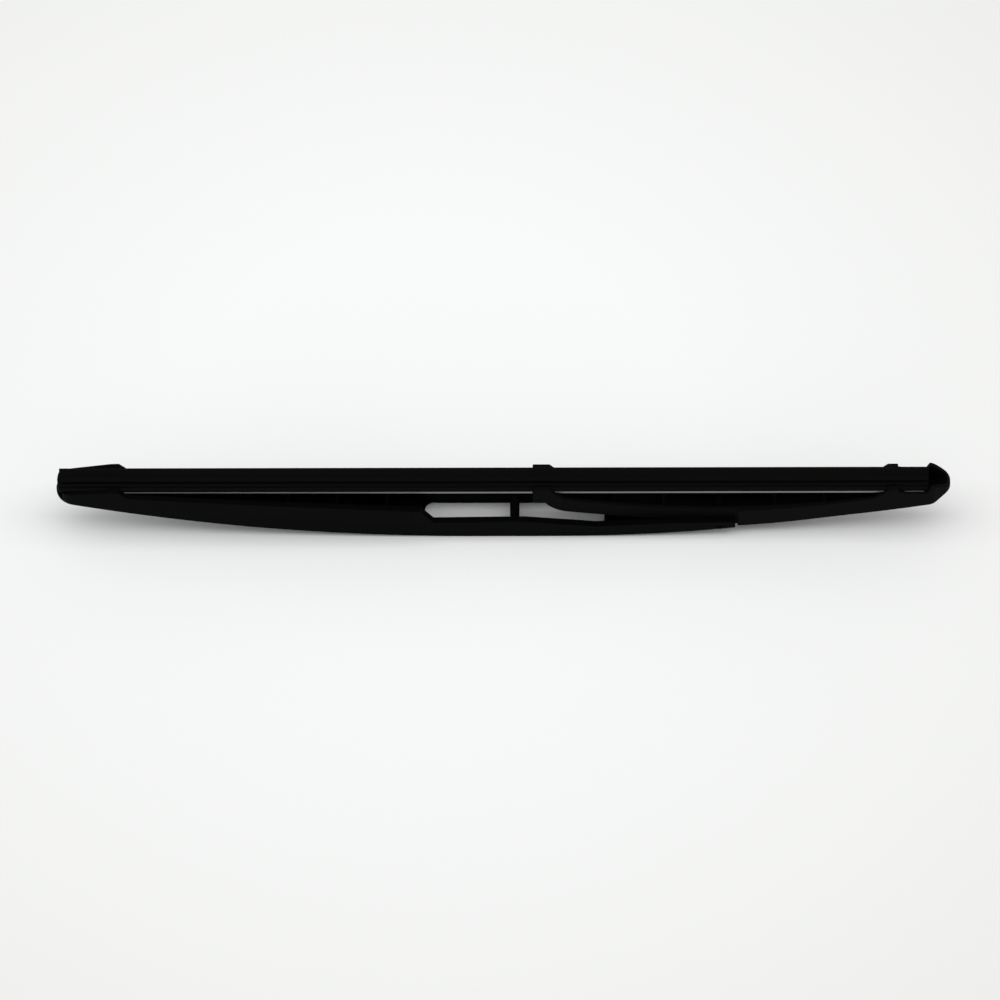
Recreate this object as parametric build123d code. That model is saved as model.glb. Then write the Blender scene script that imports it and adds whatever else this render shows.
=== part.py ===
from build123d import *
import math
import os

# Rear wiper blade, standing on its arched back with the wiping lip up.
# X runs along the blade, Y across it. Heights are measured from the flat of the back.
# Sizes are in millimetres.

# Rubber
rubber_left = -155.4
rubber_base = 19.0
rubber_end_gap = 1.4
rubber_end_bow = 0.9
head_thickness = 1.2
head_half_width = 2.6
head_chamfer = 0.4
web_half_width = 1.65
flange_thickness = 1.0
flange_inset = 0.1
bead_height = 1.1
bead_half_width = 2.9
neck_height = 1.1
neck_half_width = 0.6
shoulder_half_width = 2.1
shoulder_edge = 0.5
shoulder_height = 1.4
lip_root_half_width = 0.9
lip_height = 3.4
lip_tip_half_width = 0.4

# Steel strips in the rubber's side grooves
strip_thickness = 0.8
strip_width = 2.6
strip_inset = 2.6
strip_end_gap = 1.5
notch_length = 2.6
notch_depth = 0.8

# Fits between the rubber, the claws and the two levers
strip_side_clearance = 0.2
claw_clearance = 0.3
yoke_side_clearance = 0.3
pin_clearance = 0.05

# Claws, shared by both levers
claw_steepness = 1.15
hook_thickness = 1.1
hook_chamfer = 0.5
hook_root = 0.4
tooth_length = 2.0
claw_foot_length = 3.2
claw_foot_height = 0.7
rim_corner = 0.5

# Main bow
bar_height = 5.5
bar_diameter = 3.25
bow_wall = 2.3
bow_hood_wall = 1.2
bow_floor = 1.6
rest_flat = 15.0
back_rise_left = 16.8
back_rise_right = 4.1
back_edge_radius = 0.6
slot_half_length = 30.8
slot_corner = 3.0
slot_wall_height = 8.9
slot_wall_fall = 0.5
trough_wall_height = 14.8
trough_step = 4.5
bow_claw_from_end = 20.1
bow_claw_length = 2.8
hood_wall_height = 20.2
hood_end_bow = 1.3
hood_rim_over_strip = 0.1
fork_start = 53.0
fork_wall = 1.8
fork_wall_height = 7.6
fork_rim_dip = 1.6
fork_tail = 5.5
fork_boss_wall = 0.9
rib_first = -43.7
rib_pitch = 17.0
rib_count = 6
rib_thickness = 1.2
rib_drop = 4.6

# Yoke
pivot_x = 70.0
pivot_height = 5.7
pin_diameter = 2.4
pin_recess = 0.2
centre_claw_distance = 61.0
centre_claw_length = 5.8
right_claw_distance = 59.35
right_claw_length = 3.5
yoke_wall = 1.15
yoke_floor = 1.4
yoke_back = 3.2
yoke_rise = 0.07
yoke_back_radius = 416.0
yoke_back_edge_radius = 0.5
yoke_arm_gap = 6.3
yoke_arm_height = 10.9
yoke_neck_inset = 1.7
yoke_claw_floor = 2.3
yoke_mid_wall_height = 12.6
yoke_boss_wall = 0.5
cheek_gap = 0.9
cheek_length = 44.0
cheek_width = 0.95
yoke_hood_gap = 9.5
yoke_hood_length = 8.2
yoke_hood_side_rise = 0.1
yoke_hood_peak = 0.6
yoke_hood_ramp = 1.3
yoke_nose_length = 6.2
yoke_nose_corner = 5.0
yoke_tip_half_width = 2.6
yoke_tip_corner = 3.0
yoke_nose_height = 20.2
yoke_nose_flat = 0.8
yoke_chin_length = 8.0
yoke_chin_run = 2.7
yoke_chin_radius = 4.0
yoke_rib_thickness = 1.0
yoke_rib_offsets = (-36.0, -19.0, 19.0, 36.0)
yoke_rib_drop = 3.4

# Sizes worked out from those above
strip_base = rubber_base + head_thickness
strip_top = strip_base + strip_thickness
strip_outer = web_half_width + strip_width
flange_half_width = strip_outer - flange_inset
flange_top = strip_top + flange_thickness
claw_inner = strip_outer + strip_side_clearance
claw_seat = rubber_base - claw_clearance
hook_base = flange_top + claw_clearance
hook_reach = bead_half_width + claw_clearance
claw_top = hook_base + hook_thickness
yoke_half_width = claw_inner + yoke_wall
fork_inner = yoke_half_width + yoke_side_clearance
fork_outer = fork_inner + fork_wall
bow_half_width = fork_inner + bow_wall
bow_hood_half_width = claw_inner + bow_hood_wall
bow_left = rubber_left - hood_end_bow
fork_level_from = slot_half_length - slot_corner
tail_end = pivot_x + fork_tail
left_run = -rest_flat - bow_left
right_run = tail_end - rest_flat
back_radius_left = (left_run**2 + back_rise_left**2) / (2 * back_rise_left)
back_radius_right = (right_run**2 + back_rise_right**2) / (2 * back_rise_right)
pin_radius = pin_diameter / 2
bow_claw_right = rubber_left + bow_claw_from_end
bow_claw_left = bow_claw_right - bow_claw_length
hood_start = bow_claw_right + (claw_top - hood_wall_height) / claw_steepness
centre_claw_left = pivot_x - centre_claw_distance - centre_claw_length / 2
centre_claw_right = centre_claw_left + centre_claw_length
right_claw_left = pivot_x + right_claw_distance - right_claw_length / 2
right_claw_right = right_claw_left + right_claw_length
yoke_arm_start = centre_claw_right + yoke_arm_gap
yoke_arm_drop = (yoke_arm_height - yoke_back) / (pivot_x - yoke_arm_start)
yoke_wall_height = claw_seat - claw_clearance
yoke_claw_run = (claw_top - yoke_wall_height) / claw_steepness
yoke_hood_left = right_claw_right + yoke_hood_gap
yoke_end = yoke_hood_left + yoke_hood_length
yoke_nose_start = yoke_end - yoke_nose_length - yoke_nose_corner
yoke_chin = yoke_end - yoke_chin_length
rubber_right = yoke_end - yoke_nose_length - rubber_end_gap

# How far cutting shapes run past the solids that they cut
overrun = 1.0
nose_overrun = 0.3
reach = 2 * rubber_base
above_all = rubber_base + reach
touch = 0.05


def back_height(x, thickness=0.0):
    """Height of the bow's arched back at x, or of a surface that far inside it."""
    if abs(x) <= rest_flat:
        return thickness
    radius = back_radius_left if x < 0 else back_radius_right
    run = abs(x) - rest_flat
    return radius - math.sqrt((radius - thickness) ** 2 - run**2)


def back_edges(left, right, thickness=0.0):
    """The arched back from left to right as an arc, a flat and an arc."""
    left_mid = (left - rest_flat) / 2
    right_mid = (right + rest_flat) / 2
    flat_left = (-rest_flat, thickness)
    flat_right = (rest_flat, thickness)
    return [
        ThreePointArc(
            (left, back_height(left, thickness)),
            (left_mid, back_height(left_mid, thickness)),
            flat_left,
        ),
        Line(flat_left, flat_right),
        ThreePointArc(
            flat_right,
            (right_mid, back_height(right_mid, thickness)),
            (right, back_height(right, thickness)),
        ),
    ]


def across(edges):
    """A side outline, drawn in X and height, carried across the blade."""
    return extrude(Plane.XZ * make_face(edges), amount=reach, both=True)


def upward(edges, base, top):
    """A plan outline, drawn in X and Y, carried up from base to top."""
    return Pos(0, 0, base) * extrude(make_face(edges), amount=top - base)


def along(points, left, right):
    """A section drawn in Y and height, carried along the blade."""
    face = make_face(Polyline(*points, close=True))
    return Pos(left, 0, 0) * extrude(Plane.YZ * face, amount=right - left)


def slab(left, right, base, top):
    """A block from left to right and from base to top, wider than the blade."""
    size = Box(right - left, 2 * reach, top - base)
    return Pos((left + right) / 2, 0, (base + top) / 2) * size


def cross_rod(x, height, radius, half_length):
    """A round rod across the blade."""
    return Pos(x, 0, height) * Rot(90, 0, 0) * Cylinder(radius, 2 * half_length)


def both_sides(piece):
    """A piece on the +Y side together with its mirror image."""
    return piece + mirror(piece, about=Plane.XZ)


def lower_edges(body, curves):
    """The body's edges that lie on its lower side curves, without those straight across it."""
    found = []
    for edge in body.edges():
        middle = edge @ 0.5
        straight_across = edge.geom_type == GeomType.LINE and abs((edge % 0.5).X) < touch
        distance = min(curve.distance_to(Vertex(middle.X, middle.Z)) for curve in curves)
        if distance < touch and not straight_across:
            found.append(edge)
    return found


def hooks(left, right, side_form):
    """The two inward hooks of a claw over the rubber's flange, trimmed to its lever's side form."""
    root = claw_inner + hook_root
    section = [
        (root, hook_base),
        (hook_reach, hook_base),
        (hook_reach, claw_top - hook_chamfer),
        (hook_reach + hook_chamfer, claw_top),
        (root, claw_top),
    ]
    return both_sides(along(section, left, right) & side_form)


def wiper_rubber():
    """The extruded rubber: head, strip grooves, flange, bead, neck, shoulder and lip.

    Its left end is rounded up to the bead, and the lip above is cut square.
    """
    bead_top = flange_top + bead_height
    shoulder_base = bead_top + neck_height
    lip_base = shoulder_base + shoulder_height
    half = [
        (head_half_width - head_chamfer, rubber_base),
        (head_half_width, rubber_base + head_chamfer),
        (head_half_width, strip_base),
        (web_half_width, strip_base),
        (web_half_width, strip_top),
        (flange_half_width, strip_top),
        (flange_half_width, flange_top),
        (bead_half_width, flange_top),
        (bead_half_width, bead_top),
        (neck_half_width, bead_top),
        (neck_half_width, shoulder_base),
        (shoulder_half_width, shoulder_base),
        (shoulder_half_width, shoulder_base + shoulder_edge),
        (lip_root_half_width, lip_base),
        (lip_tip_half_width, lip_base + lip_height),
    ]
    mirrored = [(-y, z) for y, z in reversed(half)]
    bar = along(half + mirrored, rubber_left - rubber_end_bow - overrun, rubber_right)
    beyond = rubber_right + overrun
    front = (rubber_left, -flange_half_width)
    rear = (rubber_left, flange_half_width)
    plan = [
        ThreePointArc(front, (rubber_left - rubber_end_bow, 0), rear),
        Polyline(
            rear, (rubber_left, reach), (beyond, reach), (beyond, -reach), (rubber_left, -reach), front
        ),
    ]
    bar = bar & upward(plan, -overrun, above_all)
    return bar - slab(rubber_left - reach, rubber_left, bead_top, above_all)


def vertebra(side):
    """A steel strip with the notch that locks the refill in the left claw."""
    section = [
        (side * web_half_width, strip_base),
        (side * strip_outer, strip_base),
        (side * strip_outer, strip_top),
        (side * web_half_width, strip_top),
    ]
    strip = along(section, rubber_left + strip_inset, rubber_right - strip_end_gap)
    middle = (bow_claw_left + bow_claw_right) / 2
    notch = Box(notch_length, 2 * notch_depth, reach)
    return strip - Pos(middle, side * strip_outer, strip_base) * notch


def bow_plan():
    """The bow from above: straight by the slot, then tangent arcs to its round left end and its fork."""
    end_radius = bow_hood_half_width
    end_centre = bow_left + end_radius
    run = -rest_flat - end_centre
    narrowing = bow_half_width - end_radius
    side_radius = (run**2 + bow_half_width**2 - end_radius**2) / (2 * narrowing)
    tilt = math.asin(run / (side_radius - end_radius))
    end_x = end_centre - end_radius * math.sin(tilt)
    end_y = end_radius * math.cos(tilt)
    edges = [
        ThreePointArc((end_x, -end_y), (bow_left, 0), (end_x, end_y)),
        Line((tail_end, -fork_outer), (tail_end, fork_outer)),
    ]
    for side in (-1, 1):
        level_left = (-rest_flat, side * bow_half_width)
        level_right = (fork_level_from, side * bow_half_width)
        edges.append(TangentArc(level_left, (end_x, side * end_y), tangent=(-1, 0)))
        edges.append(Line(level_left, level_right))
        edges.append(TangentArc(level_right, (tail_end, side * fork_outer), tangent=(1, 0)))
    return edges


def bow_inside():
    """The space between the bow's walls: as wide as the fork, narrowing to the claw's width."""
    left = bow_left - reach
    right = tail_end + reach
    edges = []
    for side in (-1, 1):
        slot_left = (-slot_half_length, side * fork_inner)
        claw_end = (hood_start, side * claw_inner)
        edges.append(Line((left, side * claw_inner), claw_end))
        edges.append(TangentArc(slot_left, claw_end, tangent=(-1, 0)))
        edges.append(Line(slot_left, (right, side * fork_inner)))
    edges.append(Line((left, -claw_inner), (left, claw_inner)))
    edges.append(Line((right, -fork_inner), (right, fork_inner)))
    return upward(edges, -reach, above_all)


def bow_side_form():
    """The bow's side outline, from the fork's tail over the claw to the left hood, carried across."""
    left = bow_left - overrun
    hood_rim = strip_top + hood_rim_over_strip
    top = FilletPolyline(
        (tail_end, back_height(tail_end)),
        (tail_end, fork_wall_height),
        (fork_start, fork_wall_height),
        (fork_level_from, fork_wall_height - fork_rim_dip),
        (bar_diameter, slot_wall_height),
        (-fork_level_from, slot_wall_height - slot_wall_fall),
        (-fork_level_from - trough_step, trough_wall_height),
        (hood_start, hood_wall_height),
        (bow_claw_right, claw_top),
        (bow_claw_left, claw_top),
        (rubber_left, hood_rim),
        (left, hood_rim),
        (left, back_height(left)),
        radius=rim_corner,
    )
    return across([*back_edges(left, tail_end), top])


def bow_ribs():
    """Blocks that the trough leaves standing as cross ribs, a little lower than its walls."""
    trough_end = -fork_level_from - trough_step
    slope = (hood_wall_height - trough_wall_height) / (trough_end - hood_start)
    ribs = []
    for number in range(rib_count):
        x = rib_first - number * rib_pitch
        top = trough_wall_height + slope * (trough_end - x) - rib_drop
        ribs.append(slab(x - rib_thickness / 2, x + rib_thickness / 2, -overrun, top))
    return ribs


def bow_hollow():
    """The trough above the bow's floor, with its ribs, the claw's seat and the rubber's way out."""
    left = bow_left - reach
    right = tail_end + reach
    rim = Polyline(
        (right, back_height(right, bow_floor)),
        (right, above_all),
        (left, above_all),
        (left, back_height(left, bow_floor)),
    )
    trough = across([*back_edges(left, right, bow_floor), rim])
    seat = slab(bow_claw_left, bow_claw_right, -overrun, claw_seat)
    for block in [*bow_ribs(), seat]:
        trough = trough - block
    return trough + slab(left, right, claw_seat, above_all)


def bow_teeth():
    """The teeth in the left claw that lock into the notches of the steel strips."""
    middle = (bow_claw_left + bow_claw_right) / 2
    inner = strip_outer - notch_depth + (notch_length - tooth_length) / 2
    root = claw_inner + hook_root
    top = strip_top - strip_side_clearance
    section = [(inner, strip_base), (root, strip_base), (root, top), (inner, top)]
    return both_sides(along(section, middle - tooth_length / 2, middle + tooth_length / 2))


def between(half_width):
    """All the space between two upright planes, that far each side of the middle."""
    return Box(reach * reach, 2 * half_width, reach * reach)


def main_bow():
    """The main lever: trough, arm slot with its bar, left claw and hood, and the right fork."""
    inside = bow_inside()
    side_form = bow_side_form()
    outer = side_form & upward(bow_plan(), -overrun, above_all)
    outer = fillet(lower_edges(outer, back_edges(bow_left, tail_end)), back_edge_radius)
    bow = outer - (bow_hollow() & inside)
    bow = bow + hooks(bow_claw_left, bow_claw_right, side_form) + bow_teeth()
    slot = RectangleRounded(2 * slot_half_length, 2 * fork_inner, slot_corner)
    bow = bow - extrude(slot, amount=reach, both=True)
    bow = bow - (inside & slab(fork_start, tail_end + reach, -reach, above_all))
    bow = bow + cross_rod(0, bar_height, bar_diameter / 2, fork_inner + bow_wall / 2)
    eyes = cross_rod(pivot_x, pivot_height, pin_radius + fork_boss_wall, fork_outer - back_edge_radius)
    bow = bow + (eyes - between(fork_inner))
    return bow - cross_rod(pivot_x, pivot_height, pin_radius, reach)


def yoke_arc_run(x):
    """Distance along the blade from the centre of the yoke's back arc to x."""
    return x - pivot_x + yoke_back_radius * math.sin(math.atan(yoke_rise))


def yoke_under(x):
    """Height of the yoke's underside at x, to the right of the centre claw."""
    if x < pivot_x:
        return yoke_back + yoke_arm_drop * (pivot_x - x)
    centre = yoke_back + yoke_back_radius * math.cos(math.atan(yoke_rise))
    return centre - math.sqrt(yoke_back_radius**2 - yoke_arc_run(x) ** 2)


def yoke_heading(x):
    """Direction of the yoke's back arc at x."""
    run = yoke_arc_run(x)
    return (math.sqrt(yoke_back_radius**2 - run**2), run)


def yoke_chin_line(nose, lift=0.0):
    """The hood's chin: straight on from the back, round a corner and up to the nose, or that far inside."""
    along_back, up_back = yoke_heading(yoke_chin)
    start = yoke_under(yoke_chin) + lift
    corner = (yoke_chin + yoke_chin_run, start + yoke_chin_run * up_back / along_back)
    return FilletPolyline((yoke_chin, start), corner, nose, radius=yoke_chin_radius)


def yoke_back_curves():
    """The yoke's underside from the arm over the pivot to the chin of the hood."""
    pivot = (pivot_x, yoke_back)
    chin = (yoke_chin, yoke_under(yoke_chin))
    nose = (yoke_end + nose_overrun, yoke_nose_height - yoke_nose_flat / 2)
    return [
        Line((yoke_arm_start, yoke_arm_height), pivot),
        TangentArc(pivot, chin, tangent=(1, yoke_rise)),
        yoke_chin_line(nose),
    ]


def yoke_side_form():
    """The yoke's side outline: centre claw, arched arms, right claw and rounded hood, carried across."""
    beyond = yoke_end + nose_overrun
    nose_low = (beyond, yoke_nose_height - yoke_nose_flat / 2)
    nose_high = (beyond, yoke_nose_height + yoke_nose_flat / 2)
    hood_side = strip_top + yoke_hood_side_rise
    hood_peak = (yoke_hood_left + yoke_hood_ramp, claw_top + yoke_hood_peak)
    arch_right = (right_claw_left - yoke_claw_run, yoke_wall_height)
    arch_left = (centre_claw_right + yoke_claw_run, yoke_wall_height)
    neck = (centre_claw_right - yoke_neck_inset, claw_seat - yoke_claw_floor)
    right_claw = FilletPolyline(
        hood_peak,
        (yoke_hood_left, hood_side),
        (right_claw_right + claw_foot_length, hood_side),
        (right_claw_right, hood_side + claw_foot_height),
        (right_claw_right, claw_top),
        (right_claw_left, claw_top),
        arch_right,
        radius=rim_corner,
    )
    centre_claw = FilletPolyline(
        arch_left,
        (centre_claw_right, claw_top),
        (centre_claw_left, claw_top),
        (centre_claw_left, neck[1]),
        neck,
        radius=rim_corner,
    )
    return across([
        *yoke_back_curves(),
        Line(nose_low, nose_high),
        TangentArc(hood_peak, nose_high, tangent=(1, 0)),
        right_claw,
        ThreePointArc(arch_right, (pivot_x, yoke_mid_wall_height), arch_left),
        centre_claw,
        TangentArc((yoke_arm_start, yoke_arm_height), neck, tangent=(-1, yoke_arm_drop)),
    ])


def yoke_nose(half_width, end, tip_half_width, inset=0.0):
    """The yoke's nose from above: straight sides that turn in to a round tip, or that far inside."""
    taper = end - yoke_nose_length
    side_corner = yoke_nose_corner - inset
    tip_corner = yoke_tip_corner - inset
    return FilletPolyline(
        (yoke_nose_start, -half_width),
        (taper, -half_width),
        (end, -tip_half_width),
        (end, tip_half_width),
        (taper, half_width),
        (yoke_nose_start, half_width),
        radius=[side_corner, tip_corner, tip_corner, side_corner],
    )


def yoke_plan():
    """The yoke from above: slim in the fork, with cheeks behind the fork's tail and a tapered nose."""
    cheek_left = tail_end + cheek_gap
    cheek_right = cheek_left + cheek_length
    nose = yoke_nose(yoke_half_width, yoke_end, yoke_tip_half_width)
    left = centre_claw_left
    edges = [nose, Line((left, -yoke_half_width), (left, yoke_half_width))]
    for side in (-1, 1):
        level = side * yoke_half_width
        cheek = (cheek_left, level + side * cheek_width)
        cheek_middle = ((cheek_left + cheek_right) / 2, level + side * cheek_width / 2)
        edges.append(Polyline((left, level), (cheek_left, level), cheek))
        edges.append(TangentArc(cheek, cheek_middle, tangent=(1, 0)))
        edges.append(TangentArc((cheek_right, level), cheek_middle, tangent=(-1, 0)))
        edges.append(Line((cheek_right, level), (yoke_nose_start, level)))
    return edges


def yoke_inside():
    """The space between the yoke's walls, with a tapered end inside the nose."""
    left = centre_claw_left - reach
    tip = yoke_tip_half_width - yoke_wall / 2
    end = yoke_nose(claw_inner, yoke_end - yoke_wall, tip, yoke_wall)
    sides = Polyline(end @ 0, (left, -claw_inner), (left, claw_inner), end @ 1)
    return upward([end, sides], -reach, above_all + reach)


def yoke_hollow():
    """The trough inside the yoke, seen from the side, stepping up to each claw's seat."""
    left = centre_claw_left - reach
    top = above_all + reach
    turn = yoke_arm_start + yoke_floor
    pivot = (pivot_x, yoke_back + yoke_floor)
    claw_from = (right_claw_left, yoke_under(right_claw_left) + yoke_floor)
    claw_to = (right_claw_right, yoke_under(right_claw_right) + yoke_floor)
    chin = (yoke_chin, yoke_under(yoke_chin) + yoke_floor)
    nose = (yoke_end, yoke_nose_height + yoke_nose_flat / 2 + yoke_floor)
    return across([
        Polyline(
            (left, claw_seat),
            (centre_claw_right, claw_seat),
            (turn, yoke_under(turn) + yoke_floor),
            pivot,
        ),
        TangentArc(pivot, claw_from, tangent=(1, yoke_rise)),
        Polyline(claw_from, (right_claw_left, claw_seat), (right_claw_right, claw_seat), claw_to),
        TangentArc(claw_to, chin, tangent=yoke_heading(right_claw_right)),
        yoke_chin_line(nose, yoke_floor),
        Polyline(nose, (yoke_end, top), (left, top), (left, claw_seat)),
    ])


def yoke():
    """The second lever: a channel with two claws, a rounded hood and the pivot boss."""
    side_form = yoke_side_form()
    outer = side_form & upward(yoke_plan(), -overrun, above_all)
    outer = fillet(lower_edges(outer, yoke_back_curves()), yoke_back_edge_radius)
    body = outer - (yoke_hollow() & yoke_inside())
    for offset in yoke_rib_offsets:
        left = pivot_x + offset - yoke_rib_thickness / 2
        rib_top = yoke_mid_wall_height - yoke_rib_drop + abs(offset) * yoke_arm_drop
        body = body + (outer & slab(left, left + yoke_rib_thickness, -overrun, rib_top))
    body = body + hooks(centre_claw_left, centre_claw_right, side_form)
    body = body + hooks(right_claw_left, right_claw_right, side_form)
    bore = pin_radius + pin_clearance
    body = body + cross_rod(pivot_x, pivot_height, bore + yoke_boss_wall, yoke_half_width)
    return body - cross_rod(pivot_x, pivot_height, bore, reach)


def pivot_pin():
    """The pin that is pressed into the fork's eyes and carries the yoke."""
    return cross_rod(pivot_x, pivot_height, pin_radius, fork_outer - pin_recess)


def main():
    os.makedirs("parts", exist_ok=True)
    pieces = {
        "main_bow": main_bow(),
        "yoke": yoke(),
        "pivot_pin": pivot_pin(),
        "wiper_rubber": wiper_rubber(),
        "vertebra_front": vertebra(-1),
        "vertebra_rear": vertebra(1),
    }
    # The origin is on the arm bar's axis, so every piece is lowered by the bar's height.
    for name, shape in pieces.items():
        export_step(Pos(0, 0, -bar_height) * shape, f"parts/{name}.step")


main()
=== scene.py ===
import math

import bmesh
import bpy
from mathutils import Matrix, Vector


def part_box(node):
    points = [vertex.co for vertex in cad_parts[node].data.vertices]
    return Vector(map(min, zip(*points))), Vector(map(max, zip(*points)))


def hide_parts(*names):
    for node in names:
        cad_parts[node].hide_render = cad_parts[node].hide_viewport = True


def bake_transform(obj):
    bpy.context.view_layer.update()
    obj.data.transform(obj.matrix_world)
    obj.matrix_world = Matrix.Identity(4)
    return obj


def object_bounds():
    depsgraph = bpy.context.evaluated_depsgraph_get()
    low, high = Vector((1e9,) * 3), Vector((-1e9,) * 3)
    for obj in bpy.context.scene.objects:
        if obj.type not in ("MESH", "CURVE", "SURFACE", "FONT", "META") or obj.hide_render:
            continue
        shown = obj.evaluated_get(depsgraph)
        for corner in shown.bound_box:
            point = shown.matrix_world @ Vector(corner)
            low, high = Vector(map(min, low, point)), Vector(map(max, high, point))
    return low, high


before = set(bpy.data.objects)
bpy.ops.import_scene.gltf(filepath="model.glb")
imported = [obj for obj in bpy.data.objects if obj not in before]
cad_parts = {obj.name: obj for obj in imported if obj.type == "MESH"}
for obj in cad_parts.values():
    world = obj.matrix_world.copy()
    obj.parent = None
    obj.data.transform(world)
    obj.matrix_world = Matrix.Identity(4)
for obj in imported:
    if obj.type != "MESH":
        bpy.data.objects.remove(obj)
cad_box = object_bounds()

# Lengths are in metres, in the part's own frame. Angles are in degrees.

# Photograph: its width at the blade, the point in the middle of its frame, and the camera
frame_width = 0.3427
frame_centre = Vector((-0.00505, 0.0, 0.0047))
camera_elevation = 55.0
camera_roll = 0.12
camera_distance = 3.0
camera_nearest = 0.03
camera_farthest = 60.0
sensor_width_mm = 36.0

# Floor, with a painted pool of light: its colour is lightest round its middle and darker away
# from it, as painted light falloff
floor_size = 6.0
floor_middle = (-0.03, 0.03)
floor_near = 0.09
floor_far = 0.29
floor_painted_pool_colour = (0.896, 0.910, 0.906)
floor_painted_falloff_colour = (0.808, 0.815, 0.797)

# Light
world_colour = (1.0, 1.0, 1.0)
world_light = 0.56
world_seen = 0.9
softbox_length = 16.0
softbox_width = 3.2
softbox_distance = 4.0
softbox_elevation = 88.0
softbox_power = 227.0

# Bending pieces: where they bend, how finely, and how their edges are rounded
bend_step = 0.002
rubber_softness = 0.00012
strip_softness = 0.00006
rounding_steps = 2
rounding_profile = 0.5
sharp_edge = 25.0
flat_edge = 0.5
merge_distance = 1e-6

# Materials: the range that most of a noise lies in, and the rounding of moulded edges
noise_range = (0.3, 0.7)
edge_radius = 0.00018
edge_samples = 6


def add_object(name, data):
    """A new object in the scene."""
    item = bpy.data.objects.new(name, data)
    bpy.context.scene.collection.objects.link(item)
    return item


def near_side(elevation, distance):
    """The way from the blade to a point on its near side, at that elevation and distance."""
    rise = math.radians(elevation)
    return Vector((0, -math.cos(rise), math.sin(rise))) * distance


def facing_down(elevation):
    """The rotation that turns a lamp or camera at that elevation towards the blade."""
    return (math.radians(90 - elevation), 0, 0)


def round_edges(grid, softness):
    """Joins a mesh's flat facets into whole faces and rounds its sharp edges."""
    bmesh.ops.remove_doubles(grid, verts=grid.verts, dist=merge_distance)
    bmesh.ops.dissolve_limit(
        grid,
        angle_limit=math.radians(flat_edge),
        verts=grid.verts,
        edges=grid.edges,
    )
    sharp = [e for e in grid.edges if e.calc_face_angle(0.0) > math.radians(sharp_edge)]
    bmesh.ops.bevel(
        grid,
        geom=sharp,
        offset=softness,
        segments=rounding_steps,
        profile=rounding_profile,
        affect="EDGES",
    )


def cut_lengths(grid, left, right):
    """Cuts a mesh across into short lengths, so that it can bend."""
    count = int((right - left) / bend_step)
    for number in range(1, count):
        bmesh.ops.bisect_plane(
            grid,
            geom=[*grid.verts, *grid.edges, *grid.faces],
            plane_co=(left + number * bend_step, 0, 0),
            plane_no=(1, 0, 0),
        )


def fine_copy(node, softness):
    """A copy of a CAD node's form, with rounded edges and ready to bend."""
    grid = bmesh.new()
    grid.from_mesh(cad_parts[node].data)
    round_edges(grid, softness)
    low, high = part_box(node)
    cut_lengths(grid, low.x, high.x)
    mesh = bpy.data.meshes.new(node + "_form")
    grid.to_mesh(mesh)
    grid.free()
    for face in mesh.polygons:
        face.use_smooth = True
    mesh.set_sharp_from_angle(angle=math.radians(sharp_edge))
    return add_object(node + "_form", mesh)


def new_material(name):
    """An empty procedural material, with its node tree and its shader."""
    material = bpy.data.materials.new(name)
    material.use_nodes = True
    shader = material.node_tree.nodes["Principled BSDF"]
    return material, material.node_tree, shader


def noise(tree, scale, detail=3.0, stretch=(1, 1, 1)):
    """A noise in the piece's own coordinates, scale features to the metre, stretched by axis."""
    place = tree.nodes.new("ShaderNodeTexCoord")
    mapping = tree.nodes.new("ShaderNodeMapping")
    mapping.inputs["Scale"].default_value = stretch
    texture = tree.nodes.new("ShaderNodeTexNoise")
    texture.inputs["Scale"].default_value = scale
    texture.inputs["Detail"].default_value = detail
    tree.links.new(place.outputs["Object"], mapping.inputs["Vector"])
    tree.links.new(mapping.outputs["Vector"], texture.inputs["Vector"])
    return texture.outputs["Fac"]


def middle_distance(tree):
    """The distance of a point from the middle of its object."""
    place = tree.nodes.new("ShaderNodeTexCoord")
    length = tree.nodes.new("ShaderNodeVectorMath")
    length.operation = "LENGTH"
    tree.links.new(place.outputs["Object"], length.inputs[0])
    return length.outputs["Value"]


def remap(tree, value, source, target=(0.0, 1.0)):
    """A value carried from one range to another, and kept within it."""
    node = tree.nodes.new("ShaderNodeMapRange")
    sockets = ("From Min", "From Max", "To Min", "To Max")
    for socket, limit in zip(sockets, (*source, *target)):
        node.inputs[socket].default_value = limit
    tree.links.new(value, node.inputs["Value"])
    return node.outputs["Result"]


def tint(tree, share, first, second):
    """A colour that goes from the first to the second as the share goes from 0 to 1."""
    node = tree.nodes.new("ShaderNodeMix")
    node.data_type = "RGBA"
    for name, colour in (("A", first), ("B", second)):
        socket = next(s for s in node.inputs if s.name == name and s.type == "RGBA")
        socket.default_value = (*colour, 1)
    tree.links.new(share, node.inputs["Factor"])
    return next(s for s in node.outputs if s.type == "RGBA")


def relief(tree, value, height, strength, under=None):
    """The normal of a bump of that height, on top of another normal if there is one."""
    node = tree.nodes.new("ShaderNodeBump")
    node.inputs["Strength"].default_value = strength
    node.inputs["Distance"].default_value = height
    tree.links.new(value, node.inputs["Height"])
    if under is not None:
        tree.links.new(under, node.inputs["Normal"])
    return node.outputs["Normal"]


def soft_edges(tree):
    """The surface's normal with its sharp edges rounded to a small radius."""
    node = tree.nodes.new("ShaderNodeBevel")
    node.samples = edge_samples
    node.inputs["Radius"].default_value = edge_radius
    return node.outputs["Normal"]


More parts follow.
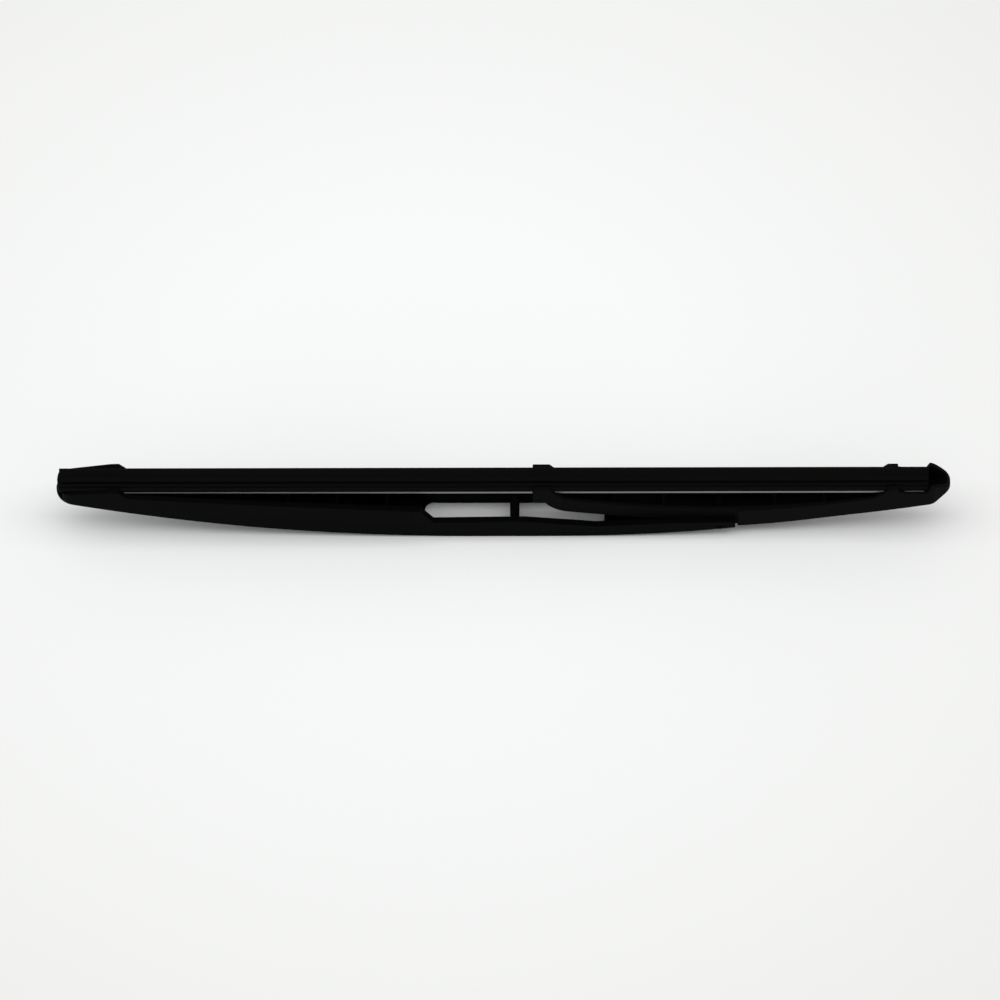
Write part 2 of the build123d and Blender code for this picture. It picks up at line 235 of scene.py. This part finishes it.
def moulded_plastic(name, dark, light, rough, shine, grain_height):
    """Black moulded plastic: fine eroded grain, slow flow marks and softly rounded edges."""
    material, tree, shader = new_material(name)
    tone = noise(tree, scale=60.0, stretch=(0.25, 1, 1))
    gloss = noise(tree, scale=900.0, detail=4.0)
    grain = noise(tree, scale=5200.0, detail=2.0)
    flow = noise(tree, scale=220.0, detail=2.0)
    flow_height = 2 * grain_height
    normal = relief(tree, grain, grain_height, strength=0.5, under=soft_edges(tree))
    normal = relief(tree, flow, flow_height, strength=0.15, under=normal)
    tree.links.new(tint(tree, tone, dark, light), shader.inputs["Base Color"])
    tree.links.new(remap(tree, gloss, noise_range, rough), shader.inputs["Roughness"])
    tree.links.new(normal, shader.inputs["Normal"])
    shader.inputs["Specular IOR Level"].default_value = shine
    return material


def lip_rubber():
    """Matte black rubber with fine drawn lines along its length and a faint bloom."""
    material, tree, shader = new_material("lip_rubber_look")
    dark = (0.0021, 0.0021, 0.0021)
    light = (0.0037, 0.0037, 0.0035)
    rough = (0.62, 0.82)
    lines = noise(tree, scale=2600.0, stretch=(0.01, 1, 1))
    bloom = noise(tree, scale=700.0, detail=5.0, stretch=(0.3, 1, 1))
    pores = noise(tree, scale=4200.0, detail=2.0)
    normal = relief(tree, lines, height=0.00002, strength=0.4)
    normal = relief(tree, pores, height=0.00001, strength=0.3, under=normal)
    tree.links.new(tint(tree, bloom, dark, light), shader.inputs["Base Color"])
    tree.links.new(remap(tree, bloom, noise_range, rough), shader.inputs["Roughness"])
    tree.links.new(normal, shader.inputs["Normal"])
    shader.inputs["Specular IOR Level"].default_value = 0.026
    return material


def strip_steel():
    """Rolled spring steel, with fine scratches along the strip."""
    material, tree, shader = new_material("strip_steel_look")
    dark = (0.15, 0.155, 0.16)
    light = (0.25, 0.255, 0.26)
    rough = (0.26, 0.42)
    scratches = noise(tree, scale=5000.0, detail=4.0, stretch=(0.008, 1, 1))
    normal = relief(tree, scratches, height=0.00001, strength=0.3)
    tree.links.new(tint(tree, scratches, dark, light), shader.inputs["Base Color"])
    tree.links.new(remap(tree, scratches, noise_range, rough), shader.inputs["Roughness"])
    tree.links.new(normal, shader.inputs["Normal"])
    shader.inputs["Metallic"].default_value = 1.0
    return material


def table_top():
    """A pale matte table with a painted pool of light: its colour is lighter near the blade,
    offsetting the blade's shade there, and darker farther away as painted light falloff.
    """
    material, tree, shader = new_material("table_top")
    rough = (0.55, 0.65)
    # Painted light: the floor's colour is lightest at its middle and darkens outward, standing
    # in for light falloff and for light under the blade's shade.
    share = remap(tree, middle_distance(tree), (floor_near, floor_far))
    colour = tint(tree, share, floor_painted_pool_colour, floor_painted_falloff_colour)
    grain = noise(tree, scale=40.0)
    tree.links.new(colour, shader.inputs["Base Color"])
    tree.links.new(remap(tree, grain, noise_range, rough), shader.inputs["Roughness"])
    shader.inputs["Specular IOR Level"].default_value = 0.1
    return material


def dress(piece, material):
    """Gives a piece one material."""
    piece.data.materials.clear()
    piece.data.materials.append(material)


def bending_piece(node, softness, material):
    """A finely cut, rounded copy that stands for a CAD node, with one material; the CAD node
    itself is hidden.
    """
    piece = fine_copy(node, softness)
    dress(piece, material)
    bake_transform(piece)
    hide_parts(node)


def add_floor():
    """The floor, under the lowest point of the blade's back."""
    bpy.ops.mesh.primitive_plane_add(size=floor_size, location=(*floor_middle, cad_box[0].z))
    floor = bpy.context.object
    floor.name = "floor"
    dress(floor, table_top())


def add_softbox():
    """A long softbox above the blade, which gives short soft shadows under its raised ends."""
    lamp = bpy.data.lights.new("softbox", "AREA")
    lamp.shape = "RECTANGLE"
    lamp.size = softbox_length
    lamp.size_y = softbox_width
    lamp.energy = softbox_power
    softbox = add_object("softbox", lamp)
    softbox.location = near_side(softbox_elevation, softbox_distance)
    softbox.rotation_euler = facing_down(softbox_elevation)


def add_surround():
    """An even light from all round, which looks brighter where it is seen or mirrored."""
    world = bpy.data.worlds.new("surround")
    world.use_nodes = True
    bpy.context.scene.world = world
    tree = world.node_tree
    background = tree.nodes["Background"]
    background.inputs["Color"].default_value = (*world_colour, 1)
    path = tree.nodes.new("ShaderNodeLightPath")
    seen = path.outputs["Is Camera Ray"]
    for ray in ("Is Glossy Ray", "Is Transmission Ray"):
        either = tree.nodes.new("ShaderNodeMath")
        either.operation = "MAXIMUM"
        tree.links.new(seen, either.inputs[0])
        tree.links.new(path.outputs[ray], either.inputs[1])
        seen = either.outputs["Value"]
    strength = remap(tree, seen, (0, 1), (world_light, world_seen))
    tree.links.new(strength, background.inputs["Strength"])


def add_camera():
    """A camera at the photograph's angle, framed as the photograph is."""
    camera = bpy.data.cameras.new("camera")
    camera.sensor_width = sensor_width_mm
    camera.lens = sensor_width_mm * camera_distance / frame_width
    camera.clip_start = camera_nearest
    camera.clip_end = camera_farthest
    eye = add_object("camera", camera)
    eye.location = frame_centre + near_side(camera_elevation, camera_distance)
    eye.rotation_euler = facing_down(camera_elevation)
    eye.rotation_euler.rotate_axis("Z", math.radians(-camera_roll))
    bpy.context.scene.camera = eye


bow_look = moulded_plastic(
    "bow_plastic_look",
    dark=(0.0011, 0.0012, 0.0014),
    light=(0.0020, 0.0021, 0.0024),
    rough=(0.30, 0.44),
    shine=0.012,
    grain_height=0.00001,
)
yoke_look = moulded_plastic(
    "yoke_plastic_look",
    dark=(0.0022, 0.0022, 0.0022),
    light=(0.0038, 0.0038, 0.0038),
    rough=(0.42, 0.56),
    shine=0.014,
    grain_height=0.000016,
)
pin_look = moulded_plastic(
    "pin_plastic_look",
    dark=(0.0016, 0.0016, 0.0016),
    light=(0.0026, 0.0026, 0.0026),
    rough=(0.28, 0.38),
    shine=0.018,
    grain_height=0.000006,
)
dress(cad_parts["main_bow"], bow_look)
dress(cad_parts["yoke"], yoke_look)
dress(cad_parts["pivot_pin"], pin_look)

steel = strip_steel()
bending_piece("wiper_rubber", rubber_softness, lip_rubber())
for side_node in ("vertebra_front", "vertebra_rear"):
    bending_piece(side_node, strip_softness, steel)

add_floor()
add_softbox()
add_surround()
add_camera()
bpy.context.scene.view_settings.view_transform = "Standard"
